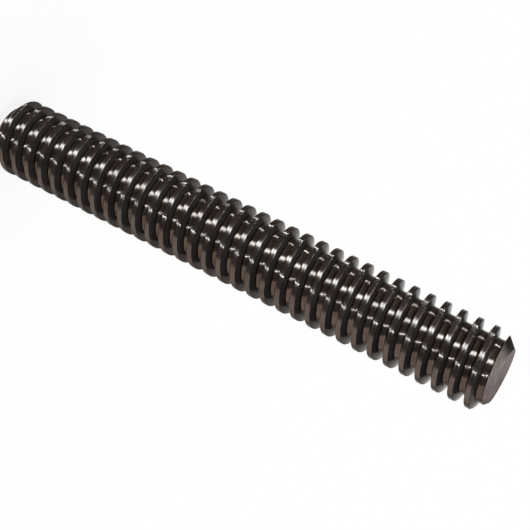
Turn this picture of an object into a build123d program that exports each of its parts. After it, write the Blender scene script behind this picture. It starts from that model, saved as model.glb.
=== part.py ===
"""A trapezoidal lead screw, Tr24 x 5, single start, right hand, standing on one end.

The thread is cut out of a round bar, as a trapezoid groove that runs off both ends. Both ends are turned to a
chamfer that reaches below the thread's root. Millimetres, +Z up along the screw's axis, origin at the centre of
the bottom face.
"""

from build123d import *
from math import ceil, radians, tan
import os

# Screw
length = 170.0
major_diameter = 24.0
pitch = 5.0

# Thread form, in a plane through the axis
thread_depth = 2.75
flank_angle = 15.0
crest_width = 1.6

# Ends
chamfer_depth = 3.8
chamfer_angle = 45.0

# How far the cutter stands out of the bar
cutter_overlap = 0.6

major_radius = major_diameter / 2
root_radius = major_radius - thread_depth
chamfer_height = chamfer_depth / tan(radians(chamfer_angle))
end_face_radius = major_radius - chamfer_depth

flank_slope = tan(radians(flank_angle))
groove_floor = pitch - crest_width - 2 * thread_depth * flank_slope
cutter_height = thread_depth + cutter_overlap
cutter_top = groove_floor + 2 * cutter_height * flank_slope
turns_cut = ceil(length / pitch) + 2

# One turn of the groove: its trapezoid, in a plane through the axis, swept along the root helix
with BuildPart() as groove_turn:
    with BuildSketch(Plane.XZ) as groove_section:
        with BuildLine():
            Polyline(
                (root_radius, -groove_floor / 2),
                (root_radius + cutter_height, -cutter_top / 2),
                (root_radius + cutter_height, cutter_top / 2),
                (root_radius, groove_floor / 2),
                close=True,
            )
        make_face()
    with BuildLine() as groove_path:
        Helix(pitch=pitch, height=pitch, radius=root_radius)
    sweep(sections=groove_section.sketch, path=groove_path.line, is_frenet=True)

# The screw: a bar with chamfered ends, less a turn of the groove at each pitch, from below one end to past the other
with BuildPart() as lead_screw:
    with BuildSketch(Plane.XZ):
        with BuildLine():
            Polyline(
                (0, 0),
                (end_face_radius, 0),
                (major_radius, chamfer_height),
                (major_radius, length - chamfer_height),
                (end_face_radius, length),
                (0, length),
                close=True,
            )
        make_face()
    revolve(axis=Axis.Z)
    with Locations(*[(0, 0, (turn - 1) * pitch) for turn in range(turns_cut)]):
        add(groove_turn.part, mode=Mode.SUBTRACT)

lead_screw.part.label = "lead_screw"

os.makedirs("parts", exist_ok=True)
export_step(lead_screw.part, "parts/lead_screw.step")
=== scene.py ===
"""A trapezoidal lead screw, Tr24 x 5, with its rolled thread and its turned ends, on a pale floor."""

from math import cos, hypot, pi, radians, sin, tan

import bmesh
import bpy
from bpy.props import FloatProperty, FloatVectorProperty, IntProperty, PointerProperty
from mathutils import Matrix, Quaternion, Vector


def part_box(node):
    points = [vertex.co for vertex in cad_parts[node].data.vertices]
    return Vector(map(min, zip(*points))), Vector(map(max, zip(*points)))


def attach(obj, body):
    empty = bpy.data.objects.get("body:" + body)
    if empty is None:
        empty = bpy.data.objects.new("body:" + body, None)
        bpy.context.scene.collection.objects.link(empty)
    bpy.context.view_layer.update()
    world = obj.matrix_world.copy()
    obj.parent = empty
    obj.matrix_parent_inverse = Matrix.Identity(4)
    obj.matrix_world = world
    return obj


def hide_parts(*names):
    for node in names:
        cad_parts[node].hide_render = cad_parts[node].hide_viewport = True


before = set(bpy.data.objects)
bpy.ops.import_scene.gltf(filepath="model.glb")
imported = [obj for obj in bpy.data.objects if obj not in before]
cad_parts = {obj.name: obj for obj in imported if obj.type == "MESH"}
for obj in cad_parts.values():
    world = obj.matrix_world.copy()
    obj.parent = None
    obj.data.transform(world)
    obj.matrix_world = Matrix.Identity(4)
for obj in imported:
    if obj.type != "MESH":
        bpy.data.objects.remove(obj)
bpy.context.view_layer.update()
NODE = "lead_screw"
PIECE = "Rolled_screw"
LOW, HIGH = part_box(NODE)
MM = 0.001

bl_info = {
    "name": "Trapezoidal lead screw",
    "version": (1, 0, 0),
    "blender": (4, 5, 0),
    "location": "3D View > Sidebar > Lead screw",
    "description": "Builds a trapezoidal lead screw with turned ends, and the stage it is shown on",
    "category": "Add Mesh",
}


# What a user can change

def millimetres(name, default, description, low=0.0, high=1000.0):
    """A size of the screw, as a plain number of millimetres."""
    return FloatProperty(
        name=name, description=f"{description}, in millimetres", default=default,
        min=low, max=high, precision=3
    )


def colour(name, default, description):
    """A colour, in linear light."""
    return FloatVectorProperty(
        name=name, description=description, default=default, size=3, subtype="COLOR", min=0.0, max=1.0
    )


def share(name, default, description, high=1.0):
    """A plain number with no unit."""
    return FloatProperty(name=name, description=description, default=default, min=0.0, max=high)


def angle(name, degrees, description):
    """An angle, kept in radians and shown in degrees."""
    return FloatProperty(
        name=name, description=description, default=radians(degrees), subtype="ANGLE", unit="ROTATION"
    )


class LeadScrewSizes(bpy.types.PropertyGroup):
    """The thread's form and the turned ends."""

    length: millimetres("Length", (HIGH.z - LOW.z) / MM, "From end face to end face")
    major_diameter: millimetres("Major diameter", 23.984, "Across the crests")
    pitch: millimetres("Pitch", 5.0, "From one crest to the next", 0.5, 50.0)
    thread_depth: millimetres("Thread depth", 2.75, "From crest to root")
    crest_width: millimetres("Crest width", 1.6, "Width of the crest between its sharp corners")
    flank_angle: angle("Flank angle", 15.0, "How far each flank leans from square to the axis")
    crest_rounding: millimetres("Crest rounding", 0.32, "Radius of the crest's corners")
    root_rounding: millimetres("Root rounding", 0.42, "Radius of the fillets beside the root")
    crest_seam: millimetres("Crest seam", 0.045, "Depth of the shallow line that rolling leaves on the crest")
    root_hollow: millimetres("Root hollow", 0.06, "How far the root is hollow between its fillets")
    chamfer_depth: millimetres("Chamfer depth", 3.8, "How far each end is turned down")
    chamfer_angle: angle("Chamfer angle", 45.0, "Angle between the chamfer and the axis")
    facets_per_turn: IntProperty(
        name="Facets per turn", description="Steps round one turn of the thread", default=68, min=24, max=240
    )


class LeadScrewFinish(bpy.types.PropertyGroup):
    """The colours and the sheen of the rolled thread and of the turned ends."""

    steel_colour: colour("Steel", (0.027, 0.0188, 0.0155), "Rolled steel of the thread, where it is clean")
    film_colour: colour("Oil film", (0.018, 0.0120, 0.0098), "Rolled steel under its brown film of oil")
    crest_colour: colour("Worn crest", (0.027, 0.0203, 0.0178), "Steel rubbed bright on the crests")
    steel_roughness: share("Steel roughness", 0.12, "Roughness of the rolled thread")
    crest_roughness: share("Crest roughness", 0.105, "Roughness of the rubbed crests")
    streak_depth: share("Streak depth", 0.25, "Strength of the fine lines along the thread")
    rolled_edge: share("Edge of the thread", 0.55, "How bright the thread is where it is seen at a slant")
    flank_metal: share("Bare flanks", 0.74, "Share of bare metal on the flanks; dark scale covers the rest")
    turned_edge: share("Edge of the ends", 0.40, "How bright the ends are where they are seen at a slant")
    turned_colour: colour("Turned steel", (0.170, 0.134, 0.125), "Bare steel of the turned ends")
    stain_colour: colour("Stain", (0.080, 0.058, 0.052), "Brown stain on the turned ends")
    # Colour of a darker patch laid over one side of the upper chamfer, which darkens the steel there
    patch_colour: colour("Dark patch", (0.012, 0.0090, 0.0078), "Patch of oil on the upper chamfer")
    turned_roughness: share("Turned roughness", 0.46, "Roughness of the turned ends")


class LeadScrewStage(bpy.types.PropertyGroup):
    """The camera, the lamps and the floor."""

    camera_distance: FloatProperty(
        name="Camera distance", description="From the point aimed at to the camera", default=0.36551, min=0.0,
        subtype="DISTANCE", unit="LENGTH", precision=4
    )
    camera_azimuth: angle("Camera azimuth", 139.087, "Where the camera stands, round the screw from +X")
    camera_elevation: angle("Camera elevation", 18.526, "How far the camera stands above the point aimed at")
    camera_roll: angle("Camera roll", 116.64, "Turn of the camera about its own view axis")
    camera_aim: FloatVectorProperty(
        name="Aim", description="Point that the camera is aimed at", default=(-0.00135, -0.00129, 0.09511),
        size=3, subtype="XYZ", unit="LENGTH", precision=5
    )
    camera_shift: FloatVectorProperty(
        name="Shift", description="Shift of the picture, in shares of its width", default=(-0.00094, 0.00094),
        size=2
    )
    lens: FloatProperty(
        name="Lens", description="Focal length of the lens", default=85.21, min=10.0, max=300.0,
        subtype="DISTANCE_CAMERA", unit="CAMERA"
    )
    lamp_colour: colour("Strip colour", (0.65, 0.88, 1.0), "Colour of the narrow strips of light")
    panel_colour: colour("Panel colour", (0.90, 0.98, 0.94), "Colour of the wide panels")
    fill_strength: share("Fill", 1.00, "Strength of the soft light from all round", high=2.0)
    floor_colour: colour("Floor", (0.98, 0.98, 0.98), "Colour of the floor")
    floor_glow: share("Floor glow", 0.80, "Share of plain white in what the camera sees of the floor")


# The thread's form

# Steps in which each rounding and half of the root's hollow are drawn
ROUNDING_STEPS = 5
HOLLOW_STEPS = 3

# The seam's share of the flat half of the crest, and where the crest is drawn, in widths of the seam
SEAM_SHARE = 0.2
CREST_PLACES = (0.0, 0.35, 0.7, 1.0, 1.6, 3.2)

# Turns that the rod is longer than the screw, and where its first crest lies at +X, in turns above the bottom
# face. The half turn brings the middle of a groove to the bottom face's level there
SPARE_TURNS = 4
FIRST_CREST = -1.5

# Radius of the bar from which the chamfers are measured, in millimetres
BAR_RADIUS = 12.0

# How far the blank stands out of the thread, in millimetres, and how far it is turned, in facets, so that
# none of its edges lies on an edge of the thread
BLANK_SPARE = 0.6
BLANK_TURN = 0.37

# A face is part of a turned end where it is this near to the chamfer or to the end face, in millimetres. On
# the chamfer its normal also has more than this share along the axis, which crests and roots don't have
CHAMFER_SLACK = 0.012
END_FACE_SLACK = 0.002
CHAMFER_LEAN = 0.5

# Edges that bend by more than this stay sharp, in degrees
SHARP_BEND = 38.0

# Corners nearer to each other than this are one, in millimetres
SAME_CORNER = 0.0005

# With fewer faces than this, the rod wasn't cut
FEWEST_FACES = 1000


def arc_points(centre, radius, start, stop):
    """Points of a rounding, from the angle start to the angle stop, in radians."""
    cx, cy = centre
    turns = [start + (stop - start) * k / ROUNDING_STEPS for k in range(ROUNDING_STEPS + 1)]
    return [(cx + radius * cos(turn), cy + radius * sin(turn)) for turn in turns]


def half_profile(sizes):
    """From the crest's middle to the root's middle: axial offsets and radii, in millimetres."""
    flank = sizes.flank_angle
    top = sizes.major_diameter / 2
    floor = top - sizes.thread_depth
    half_crest = sizes.crest_width / 2
    half_turn = (pi / 2 - flank) / 2
    root_start = half_crest + sizes.thread_depth * tan(flank)
    crest_arc_x = half_crest - sizes.crest_rounding * tan(half_turn)
    root_arc_x = root_start + sizes.root_rounding * tan(half_turn)

    points = []
    seam_width = SEAM_SHARE * crest_arc_x
    for place in CREST_PLACES:
        x = place * seam_width
        dip = sizes.crest_seam * (0.5 + 0.5 * cos(pi * min(1.0, x / seam_width)))
        points.append((x, top - dip))
    points += arc_points((crest_arc_x, top - sizes.crest_rounding), sizes.crest_rounding, pi / 2, flank)
    points += arc_points((root_arc_x, floor + sizes.root_rounding), sizes.root_rounding, pi + flank, 1.5 * pi)
    run = sizes.pitch / 2 - root_arc_x
    for k in range(1, HOLLOW_STEPS + 1):
        hollow = sizes.root_hollow * (0.5 - 0.5 * cos(pi * k / HOLLOW_STEPS))
        points.append((root_arc_x + run * k / HOLLOW_STEPS, floor - hollow))
    return points


def full_profile(sizes):
    """One pitch of the thread's form, centred on its crest and without its last point."""
    half = half_profile(sizes)
    left = [(-x, r) for x, r in reversed(half)]
    return left[:-1] + half[:-1]


def threaded_rod(sizes):
    """A closed threaded rod that runs past both ends of the screw. Its mesh lines follow the helix."""
    form = full_profile(sizes)
    per_turn, pitch, count = sizes.facets_per_turn, sizes.pitch, len(form)
    turns = int(sizes.length / pitch) + SPARE_TURNS
    rows = turns * count
    mesh = bmesh.new()
    columns = []
    for j in range(per_turn):
        turn_share = j / per_turn
        around = 2 * pi * turn_share
        column = []
        for k in range(turns):
            middle = pitch * (turn_share + k + FIRST_CREST)
            for x, r in form:
                column.append(mesh.verts.new((r * cos(around), r * sin(around), middle + x)))
        columns.append(column)

    # Between the last column and the first the helix has climbed one pitch
    for j in range(per_turn):
        here = columns[j]
        there = columns[(j + 1) % per_turn]
        lift = count if j == per_turn - 1 else 0
        for m in range(rows - 1 - lift):
            mesh.faces.new((here[m], there[m + lift], there[m + 1 + lift], here[m + 1]))

    # The rim of each end goes once round along the helix and back over one pitch of the form
    low_rim = [column[0] for column in columns]
    low_rim += [columns[0][m] for m in range(count, 0, -1)]
    high_rim = [column[-1] for column in columns]
    high_rim += [columns[-1][m] for m in range(rows - 2, rows - 2 - count, -1)]
    low_end = mesh.verts.new((0.0, 0.0, low_rim[0].co.z))
    high_end = mesh.verts.new((0.0, 0.0, high_rim[0].co.z))
    for rim, end in ((low_rim, low_end), (high_rim, high_end)):
        for a, b in zip(rim, rim[1:] + rim[:1]):
            mesh.faces.new((a, b, end))
    bmesh.ops.recalc_face_normals(mesh, faces=mesh.faces)
    return mesh


def turned_blank(sizes):
    """What the rod is cut to: two end faces, two chamfers and a loose cylinder between them."""
    outer = sizes.major_diameter / 2 + BLANK_SPARE
    face = BAR_RADIUS - sizes.chamfer_depth
    reach = (outer - face) / tan(sizes.chamfer_angle)
    line = [(face, 0.0), (outer, reach), (outer, sizes.length - reach), (face, sizes.length)]
    around = 2 * sizes.facets_per_turn
    turns = [2 * pi * (j + BLANK_TURN) / around for j in range(around)]
    mesh = bmesh.new()
    rings = [[mesh.verts.new((r * cos(turn), r * sin(turn), z)) for turn in turns] for r, z in line]
    for lower, upper in zip(rings, rings[1:]):
        for j in range(around):
            k = (j + 1) % around
            mesh.faces.new((lower[j], lower[k], upper[k], upper[j]))
    mesh.faces.new(list(reversed(rings[0])))
    mesh.faces.new(rings[-1])
    bmesh.ops.recalc_face_normals(mesh, faces=mesh.faces)
    return mesh


def mesh_object(name, mesh):
    """An object in the scene from a bmesh, which is freed."""
    data = bpy.data.meshes.new(name)
    mesh.to_mesh(data)
    mesh.free()
    made = bpy.data.objects.new(name, data)
    bpy.context.scene.collection.objects.link(made)
    return made


def keep_inside(rod, blank):
    """The part of the rod that lies inside the blank, as a new mesh."""
    cut = rod.modifiers.new("Turned ends", "BOOLEAN")
    cut.operation = "INTERSECT"
    cut.solver = "EXACT"
    cut.object = blank
    graph = bpy.context.evaluated_depsgraph_get()
    return bpy.data.meshes.new_from_object(rod.evaluated_get(graph))


def remove_with_mesh(spent):
    """Take an object that has done its work out of the file, with its mesh."""
    data = spent.data
    bpy.data.objects.remove(spent)
    bpy.data.meshes.remove(data)


def part_the_finishes(data, sizes):
    """End faces and chamfers take the second material. Only edges that bend much stay sharp."""
    face_radius = BAR_RADIUS - sizes.chamfer_depth
    slope = tan(sizes.chamfer_angle)
    turned = []
    for polygon in data.polygons:
        x, y, z = polygon.center
        from_end = min(z, sizes.length - z)
        off_cone = abs(hypot(x, y) - (face_radius + from_end * slope))
        on_cone = off_cone < CHAMFER_SLACK and abs(polygon.normal.z) > CHAMFER_LEAN
        turned.append(1 if on_cone or from_end < END_FACE_SLACK else 0)
    data.polygons.foreach_set("material_index", turned)
    data.polygons.foreach_set("use_smooth", [True] * len(turned))
    data.set_sharp_from_angle(angle=radians(SHARP_BEND))


def clean_mesh(data):
    """Join corners that lie together, keep the rim of the turned ends sharp and split many-sided faces."""
    mesh = bmesh.new()
    mesh.from_mesh(data)
    bmesh.ops.remove_doubles(mesh, verts=mesh.verts, dist=SAME_CORNER)
    for edge in mesh.edges:
        faces = edge.link_faces
        if len(faces) == 2 and faces[0].material_index != faces[1].material_index:
            edge.smooth = False

    # Left whole, neighbours could later be split along one line, which four triangles would then share
    many_sided = [face for face in mesh.faces if len(face.verts) > 4]
    bmesh.ops.triangulate(mesh, faces=many_sided, ngon_method="BEAUTY")
    mesh.to_mesh(data)
    mesh.free()


# The finishes

# Random patterns: scale to a metre, detail, roughness and distortion
PATTERNS = {
    "patches": (170.0, 4.0, 0.55, 0.6),
    "specks": (2600.0, 2.0, 0.5, 0.0),
    "waves": (330.0, 1.0, 0.5, 0.0),
    "stains": (420.0, 5.0, 0.68, 0.15),
    "grain": (2200.0, 3.0, 0.6, 0.0),
    "blotches": (95.0, 2.0, 0.5, 0.0),
    "wander": (500.0, 2.0, 0.5, 0.0),
    "fibre": (900.0, 2.0, 0.5, 0.0),
}

# Fine and coarse lines along the thread: scale to a millimetre across it, and detail. Both have the same
# scale to a metre along the thread and the same roughness
STREAKS = (7.0, 3.0)
SCORES = (2.6, 2.0)
LINE_DRIFT = 60.0
LINE_ROUGHNESS = 0.6

# How far below the crest the rubbing begins and is full, and how far above the root the flank's scale
# begins and is full, in millimetres
RUBBED_BAND = (0.45, 0.02)
SCALE_BAND = (0.2, 0.6)

# From one ring of the turning tool to the next, and how far a ring wanders, in millimetres
RING_SPACING = 0.16
RING_WANDER = 0.12

# The darker patch laid over one side of the upper chamfer, in millimetres: its middle, counted from the
# middle of the upper end face, how ragged its border is, how far from its middle it begins to fade and ends,
# and over what width it stops at the end face's rim. The last number is how much of it covers the steel
PATCH_PLACE = (6.1, 8.5, -1.5)
PATCH_RAGGED = 6.0
PATCH_FADE = (8.0, 24.0)
PATCH_RIM = 0.2
PATCH_COVER = 0.97

# Tint of the light that steel sends back where it is seen at a slant
EDGE_TINT = (1.0, 0.98, 0.96)

# Sockets of a Mix node for colours, which go by number because their names stand for other kinds too
MIX_AMOUNT, MIX_UNDER, MIX_OVER, MIX_RESULT = 0, 6, 7, 2


class Nodes:
    """Short calls for the node tree of a material or of the world."""

    def __init__(self, owner):
        self.owner = owner
        owner.use_nodes = True
        self.tree = owner.node_tree
        self.tree.nodes.clear()

    def add(self, kind, **settings):
        """A node of that kind, with its properties set."""
        node = self.tree.nodes.new(kind)
        for key, value in settings.items():
            setattr(node, key, value)
        return node

    def put(self, socket, value):
        """A link or a plain value on a socket, or neither."""
        if isinstance(value, bpy.types.NodeSocket):
            self.tree.links.new(value, socket)
        elif value is not None:
            socket.default_value = value

    def math(self, operation, a, b=None, c=None, clamp=False):
        """The result of a Math node."""
        node = self.add("ShaderNodeMath", operation=operation, use_clamp=clamp)
        for socket, value in zip(node.inputs, (a, b, c)):
            self.put(socket, value)
        return node.outputs[0]

    def vector(self, x, y, z):
        """Three numbers put together."""
        node = self.add("ShaderNodeCombineXYZ")
        for socket, value in zip(node.inputs, (x, y, z)):
            self.put(socket, value)
        return node.outputs[0]

    def noise(self, where, scale, detail, roughness, distortion=0.0):
        """A soft random pattern, from 0 to 1."""
        node = self.add("ShaderNodeTexNoise")
        self.put(node.inputs["Vector"], where)
        node.inputs["Scale"].default_value = scale
        node.inputs["Detail"].default_value = detail
        node.inputs["Roughness"].default_value = roughness
        node.inputs["Distortion"].default_value = distortion
        return node.outputs["Fac"]

    def ramp(self, value, low, high, to_low=0.0, to_high=1.0):
        """A value carried from one range to another, without going past its ends."""
        node = self.add("ShaderNodeMapRange", clamp=True)
        for socket, number in zip(node.inputs, (value, low, high, to_low, to_high)):
            self.put(socket, number)
        return node.outputs[0]

    def mix(self, amount, under, over):
        """One colour with another laid over it. Each is a link or three numbers."""
        node = self.add("ShaderNodeMix", data_type="RGBA")
        self.put(node.inputs[MIX_AMOUNT], amount)
        for number, part in ((MIX_UNDER, under), (MIX_OVER, over)):
            linked = isinstance(part, bpy.types.NodeSocket)
            self.put(node.inputs[number], part if linked else (*part, 1.0))
        return node.outputs[MIX_RESULT]

    def bump(self, height, strength, distance, before=None):
        """A bump, its distance in metres, laid over another where one is given."""
        node = self.add("ShaderNodeBump")
        node.inputs["Strength"].default_value = strength
        node.inputs["Distance"].default_value = distance
        self.put(node.inputs["Height"], height)
        self.put(node.inputs["Normal"], before)
        return node.outputs[0]

    def show(self, surface, output="ShaderNodeOutputMaterial"):
        """The tree's output, which shows that surface. Gives the material or the world back."""
        self.put(self.add(output).inputs["Surface"], surface)
        return self.owner

    def steel(self, colour_in, roughness, normal, metallic, edge):
        """The material, as metal that is as bright as the given edge where it is seen at a slant."""
        shader = self.add("ShaderNodeBsdfPrincipled")
        self.put(shader.inputs["Base Color"], colour_in)
        self.put(shader.inputs["Roughness"], roughness)
        self.put(shader.inputs["Normal"], normal)
        self.put(shader.inputs["Metallic"], metallic)
        shader.inputs["Specular Tint"].default_value = (*(edge * part for part in EDGE_TINT), 1.0)
        return self.show(shader.outputs[0])


def screw_coordinates(nodes):
    """Where a point is on the screw: its place, the place's three numbers and its distance from the axis."""
    place = nodes.add("ShaderNodeTexCoord").outputs["Object"]
    apart = nodes.add("ShaderNodeSeparateXYZ")
    nodes.put(apart.inputs[0], place)
    x, y, z = apart.outputs
    radius = nodes.math("SQRT", nodes.math("ADD", nodes.math("MULTIPLY", x, x), nodes.math("MULTIPLY", y, y)))
    return place, (x, y, z), radius


def thread_phase(nodes, x, y, z, pitch):
    """Cosine and sine of the place across the thread's form, which don't jump anywhere round the screw."""
    around = nodes.math("ARCTAN2", y, x)
    phase = nodes.math("SUBTRACT", nodes.math("MULTIPLY", z, 2 * pi / pitch), around)
    return nodes.math("COSINE", phase), nodes.math("SINE", phase)


def rolled_steel(finish, sizes):
    """Dark rolled steel under a film of oil, rubbed bright on its crests, with fine lines along it."""
    nodes = Nodes(bpy.data.materials.new("Rolled_steel"))
    top = sizes.major_diameter / 2 * MM
    root = top - sizes.thread_depth * MM
    place, axes, radius = screw_coordinates(nodes)
    across, along = thread_phase(nodes, *axes, sizes.pitch * MM)
    drift = [nodes.math("MULTIPLY", axis, LINE_DRIFT) for axis in axes]

    def lines_along(fineness, detail):
        """A pattern drawn out along the thread."""
        where = nodes.vector(
            nodes.math("MULTIPLY_ADD", across, fineness, drift[0]),
            nodes.math("MULTIPLY_ADD", along, fineness, drift[1]),
            nodes.math("MULTIPLY_ADD", radius, fineness / MM, drift[2]),
        )
        return nodes.noise(where, 1.0, detail, LINE_ROUGHNESS)

    streaks = lines_along(*STREAKS)
    scores = lines_along(*SCORES)
    patches = nodes.noise(place, *PATTERNS["patches"])
    specks = nodes.noise(place, *PATTERNS["specks"])
    waves = nodes.noise(place, *PATTERNS["waves"])
    crest = nodes.ramp(radius, *(top - depth * MM for depth in RUBBED_BAND))
    rubbed = nodes.math("MULTIPLY", crest, nodes.ramp(patches, 0.30, 0.62, 0.35, 1.0))
    off_root = nodes.ramp(radius, *(root + height * MM for height in SCALE_BAND))
    flank = nodes.math("MULTIPLY", off_root, nodes.math("SUBTRACT", 1.0, crest))

    clean = nodes.ramp(patches, 0.36, 0.66)
    body = nodes.mix(clean, finish.film_colour, finish.steel_colour)
    body = nodes.mix(nodes.math("MULTIPLY", rubbed, 0.85), body, finish.crest_colour)
    metal = nodes.ramp(flank, 0.0, 1.0, 1.0, finish.flank_metal)

    rubbing = nodes.math("MULTIPLY", crest, finish.crest_roughness - finish.steel_roughness)
    brushing = nodes.math("MULTIPLY", crest, nodes.ramp(scores, 0.42, 0.62, -0.04, 0.10))
    rough = nodes.math("ADD", finish.steel_roughness, nodes.ramp(streaks, 0.30, 0.75, -0.05, 0.09))
    rough = nodes.math("ADD", rough, rubbing)
    rough = nodes.math("ADD", rough, brushing)
    rough = nodes.math("ADD", rough, nodes.ramp(specks, 0.62, 0.80, 0.0, 0.12), clamp=True)

    normal = nodes.bump(waves, strength=0.35, distance=0.00006)
    normal = nodes.bump(scores, strength=0.6 * finish.streak_depth, distance=0.00010, before=normal)
    normal = nodes.bump(streaks, strength=finish.streak_depth, distance=0.00004, before=normal)
    normal = nodes.bump(specks, strength=0.12, distance=0.00003, before=normal)
    return nodes.steel(body, rough, normal, metal, finish.rolled_edge)


def dark_chamfer_patch(nodes, place, radius, stains, sizes):
    """How much of the dark patch covers a point of the upper chamfer."""
    x, y, z = PATCH_PLACE
    away = nodes.add("ShaderNodeVectorMath", operation="DISTANCE")
    nodes.put(away.inputs[0], place)
    away.inputs[1].default_value = (x * MM, y * MM, (sizes.length + z) * MM)
    ragged = nodes.math("MULTIPLY_ADD", stains, PATCH_RAGGED * MM, away.outputs["Value"])
    begins, ends = PATCH_FADE
    cover = nodes.ramp(ragged, begins * MM, ends * MM, PATCH_COVER, 0.0)
    rim = BAR_RADIUS - sizes.chamfer_depth
    off_face = nodes.ramp(radius, (rim - PATCH_RIM) * MM, (rim + PATCH_RIM) * MM)
    return nodes.math("MULTIPLY", cover, off_face)


def turned_steel(finish, sizes):
    """Bare steel with the turning tool's rings, brown stains and a dark patch on the upper chamfer."""
    nodes = Nodes(bpy.data.materials.new("Turned_steel"))
    place, _, radius = screw_coordinates(nodes)
    stains = nodes.noise(place, *PATTERNS["stains"])
    grain = nodes.noise(place, *PATTERNS["grain"])
    blotches = nodes.noise(place, *PATTERNS["blotches"])
    wander = nodes.math("MULTIPLY", nodes.noise(place, *PATTERNS["wander"]), RING_WANDER * MM)
    ring_phase = nodes.math("MULTIPLY", nodes.math("ADD", radius, wander), 2 * pi / (RING_SPACING * MM))
    rings = nodes.math("SINE", ring_phase)

    stained = nodes.ramp(nodes.math("MULTIPLY_ADD", blotches, 0.7, stains), 0.72, 1.02)
    patch = dark_chamfer_patch(nodes, place, radius, stains, sizes)
    body = nodes.mix(stained, finish.turned_colour, finish.stain_colour)
    body = nodes.mix(nodes.ramp(grain, 0.45, 0.75, 0.0, 0.35), body, finish.stain_colour)
    # The upper chamfer is darker on one side, where the patch lies
    body = nodes.mix(patch, body, finish.patch_colour)

    uneven = nodes.ramp(stains, 0.35, 0.70, -0.08, 0.12)
    rough = nodes.math("ADD", finish.turned_roughness, uneven, clamp=True)
    normal = nodes.bump(rings, strength=0.30, distance=0.00002)
    normal = nodes.bump(grain, strength=0.25, distance=0.00004, before=normal)
    return nodes.steel(body, rough, normal, 1.0, finish.turned_edge)


# The stage

# Each lamp: name, azimuth from the side that is looked at, distance from the axis, height of its middle,
# width, height, and how many times white it shows where it is mirrored. Degrees and metres
STRIPS = (
    ("Main_strip", -28.0, 0.50, 0.20, 0.104, 1.14, 61.0),
    ("Low_tube", 22.5, 0.50, 0.20, 0.006, 1.14, 380.0),
    ("High_tube", -98.5, 0.50, 0.20, 0.006, 1.14, 400.0),
)
PANELS = (
    ("Side_panel", 94.0, 0.60, 0.04, 0.78, 1.15, 4.1),
    ("Halo_panel", -27.0, 0.52, -0.06, 0.20, 0.70, 1.4),
    ("Upper_panel", -62.0, 0.55, 0.19, 0.34, 0.30, 1.1),
    ("Top_panel", -60.0, 0.42, 0.69, 0.42, 0.34, 22.0),
    ("Back_panel", 141.0, 0.62, -0.06, 0.20, 0.95, 0.9),
)

# The side that is looked at, round the screw from +X, in degrees
VIEW_AZIMUTH = 139.44

# The floor is a round board of this radius, in metres, with this many sides. Its fibres are this much darker
FLOOR_RADIUS = 60.0
FLOOR_SIDES = 96
FIBRE_SHADE = 0.99

# The nearest and the farthest that the camera sees, in metres
CAMERA_RANGE = (0.01, 200.0)


def seen_or_mirrored(nodes):
    """1 for rays from the camera and for rays that metal or glass sends on."""
    path = nodes.add("ShaderNodeLightPath")
    seen = nodes.math("ADD", path.outputs["Is Camera Ray"], path.outputs["Is Glossy Ray"])
    return nodes.math("ADD", seen, path.outputs["Is Transmission Ray"], clamp=True)


def floor_finish(stage):
    """Matte white board, mixed with plain white where it is looked at, so that shadows stay faint."""
    nodes = Nodes(bpy.data.materials.new("White_board"))
    place = nodes.add("ShaderNodeTexCoord").outputs["Object"]
    fibre = nodes.noise(place, *PATTERNS["fibre"])
    darker = [FIBRE_SHADE * part for part in stage.floor_colour]
    board = nodes.add("ShaderNodeBsdfDiffuse")
    nodes.put(board.inputs["Color"], nodes.mix(fibre, darker, stage.floor_colour))
    glow = nodes.add("ShaderNodeEmission")
    glow.inputs["Strength"].default_value = 1.0
    blend = nodes.add("ShaderNodeMixShader")
    glowing = nodes.math("MULTIPLY", seen_or_mirrored(nodes), stage.floor_glow)
    for socket, value in zip(blend.inputs, (glowing, board.outputs[0], glow.outputs[0])):
        nodes.put(socket, value)
    return nodes.show(blend.outputs[0])


def lay_floor(stage):
    """A wide white board. Lamps reach below its level, so it casts no shadow and steel doesn't mirror it."""
    mesh = bmesh.new()
    bmesh.ops.create_circle(mesh, cap_ends=True, cap_tris=True, segments=FLOOR_SIDES, radius=FLOOR_RADIUS)
    floor = mesh_object("Floor", mesh)
    floor.data.materials.append(floor_finish(stage))
    floor.visible_glossy = False
    floor.visible_shadow = False


def light_the_room(stage):
    """White where it is seen or mirrored, and a soft fill for everything else."""
    world = bpy.data.worlds.new("Room")
    bpy.context.scene.world = world
    nodes = Nodes(world)
    background = nodes.add("ShaderNodeBackground")
    background.inputs["Color"].default_value = (1.0, 1.0, 1.0, 1.0)
    strength = nodes.ramp(seen_or_mirrored(nodes), 0.0, 1.0, stage.fill_strength, 1.0)
    nodes.put(background.inputs["Strength"], strength)
    nodes.show(background.outputs[0], "ShaderNodeOutputWorld")


def lit_pieces():
    """The pieces that the lamps light. The floor has the light of the room alone, so that it stays even."""
    lit = bpy.data.collections.new("Lit_pieces")
    lit.objects.link(bpy.data.objects[PIECE])
    return lit


def hang_lamp(name, place, width, height, brightness, tint, lit):
    """A flat lamp that faces the axis and shows as that many times white. The camera doesn't see it."""
    data = bpy.data.lights.new(name, "AREA")
    data.shape = "RECTANGLE"
    data.size, data.size_y = width, height
    data.energy = brightness * pi * width * height
    data.color = tint
    lamp = bpy.data.objects.new(name, data)
    bpy.context.scene.collection.objects.link(lamp)
    lamp.location = place
    lamp.rotation_mode = "QUATERNION"
    lamp.rotation_quaternion = Vector((-place.x, -place.y, 0.0)).to_track_quat("-Z", "Y")
    lamp.visible_camera = False
    lamp.light_linking.receiver_collection = lit


def hang_lamps(stage):
    """Upright strips and panels round the screw, one of the panels high above its upper end."""
    lit = lit_pieces()
    for lamps, tint in ((STRIPS, stage.lamp_colour), (PANELS, stage.panel_colour)):
        for name, side, distance, middle, width, height, brightness in lamps:
            azimuth = radians(VIEW_AZIMUTH + side)
            place = Vector((distance * cos(azimuth), distance * sin(azimuth), middle))
            hang_lamp(name, place, width, height, brightness, tint, lit)


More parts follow.
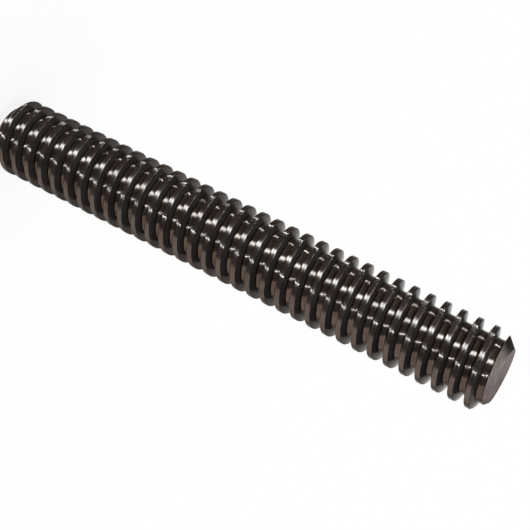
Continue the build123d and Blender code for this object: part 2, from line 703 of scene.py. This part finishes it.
def set_camera(stage):
    """The camera, which lies on its side as it looks along the standing screw."""
    data = bpy.data.cameras.new("Camera")
    data.lens = stage.lens
    data.shift_x, data.shift_y = stage.camera_shift
    data.clip_start, data.clip_end = CAMERA_RANGE
    camera = bpy.data.objects.new("Camera", data)
    bpy.context.scene.collection.objects.link(camera)
    up, azimuth = stage.camera_elevation, stage.camera_azimuth
    direction = Vector((cos(up) * cos(azimuth), cos(up) * sin(azimuth), sin(up)))
    camera.location = Vector(stage.camera_aim) + direction * stage.camera_distance
    camera.rotation_mode = "QUATERNION"
    level = (-direction).to_track_quat("-Z", "Y")
    camera.rotation_quaternion = level @ Quaternion((0.0, 0.0, 1.0), stage.camera_roll)
    bpy.context.scene.camera = camera


# What a user runs

class LEADSCREW_OT_screw(bpy.types.Operator):
    """Build the lead screw: its rolled thread, cut off inside the turned ends"""

    bl_idname = "leadscrew.screw"
    bl_label = "Build the screw"

    def execute(self, context):
        sizes = context.scene.lead_screw_sizes
        finish = context.scene.lead_screw_finish
        rod = mesh_object("Threaded_rod", threaded_rod(sizes))
        blank = mesh_object("Turned_blank", turned_blank(sizes))
        data = keep_inside(rod, blank)
        if len(data.polygons) < FEWEST_FACES:
            raise RuntimeError("the thread and the turned ends gave no screw")
        remove_with_mesh(rod)
        remove_with_mesh(blank)
        data.name = PIECE
        data.materials.clear()
        data.materials.append(rolled_steel(finish, sizes))
        data.materials.append(turned_steel(finish, sizes))
        part_the_finishes(data, sizes)
        clean_mesh(data)
        data.transform(Matrix.Scale(MM, 4))
        screw = bpy.data.objects.new(PIECE, data)
        context.scene.collection.objects.link(screw)
        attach(screw, "root")
        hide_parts(NODE)
        return {"FINISHED"}


class LEADSCREW_OT_stage(bpy.types.Operator):
    """Lay the floor, hang the lamps and set the camera"""

    bl_idname = "leadscrew.stage"
    bl_label = "Set the stage"

    def execute(self, context):
        stage = context.scene.lead_screw_stage
        lay_floor(stage)
        light_the_room(stage)
        hang_lamps(stage)
        set_camera(stage)
        context.scene.view_settings.view_transform = "Standard"
        return {"FINISHED"}


class LEADSCREW_PT_panel(bpy.types.Panel):
    """The lead screw's sizes, finish and stage"""

    bl_label = "Lead screw"
    bl_idname = "LEADSCREW_PT_panel"
    bl_space_type = "VIEW_3D"
    bl_region_type = "UI"
    bl_category = "Lead screw"

    def draw(self, context):
        scene = context.scene
        groups = (
            ("Sizes", scene.lead_screw_sizes, "leadscrew.screw"),
            ("Finish", scene.lead_screw_finish, None),
            ("Stage", scene.lead_screw_stage, "leadscrew.stage"),
        )
        for title, group, operator in groups:
            box = self.layout.box()
            box.label(text=title)
            for name in group.bl_rna.properties.keys():
                if name not in {"rna_type", "name"}:
                    box.prop(group, name)
            if operator:
                box.operator(operator)


CLASSES = (
    LeadScrewSizes, LeadScrewFinish, LeadScrewStage,
    LEADSCREW_OT_screw, LEADSCREW_OT_stage, LEADSCREW_PT_panel,
)


def register():
    """Make the classes and the three groups of settings known."""
    for made in CLASSES:
        bpy.utils.register_class(made)
    bpy.types.Scene.lead_screw_sizes = PointerProperty(type=LeadScrewSizes)
    bpy.types.Scene.lead_screw_finish = PointerProperty(type=LeadScrewFinish)
    bpy.types.Scene.lead_screw_stage = PointerProperty(type=LeadScrewStage)


def unregister():
    """Take back what register made known."""
    del bpy.types.Scene.lead_screw_stage
    del bpy.types.Scene.lead_screw_finish
    del bpy.types.Scene.lead_screw_sizes
    for made in reversed(CLASSES):
        bpy.utils.unregister_class(made)


def main():
    """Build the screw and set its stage."""
    register()
    bpy.ops.leadscrew.screw()
    bpy.ops.leadscrew.stage()


if __name__ == "__main__":
    main()
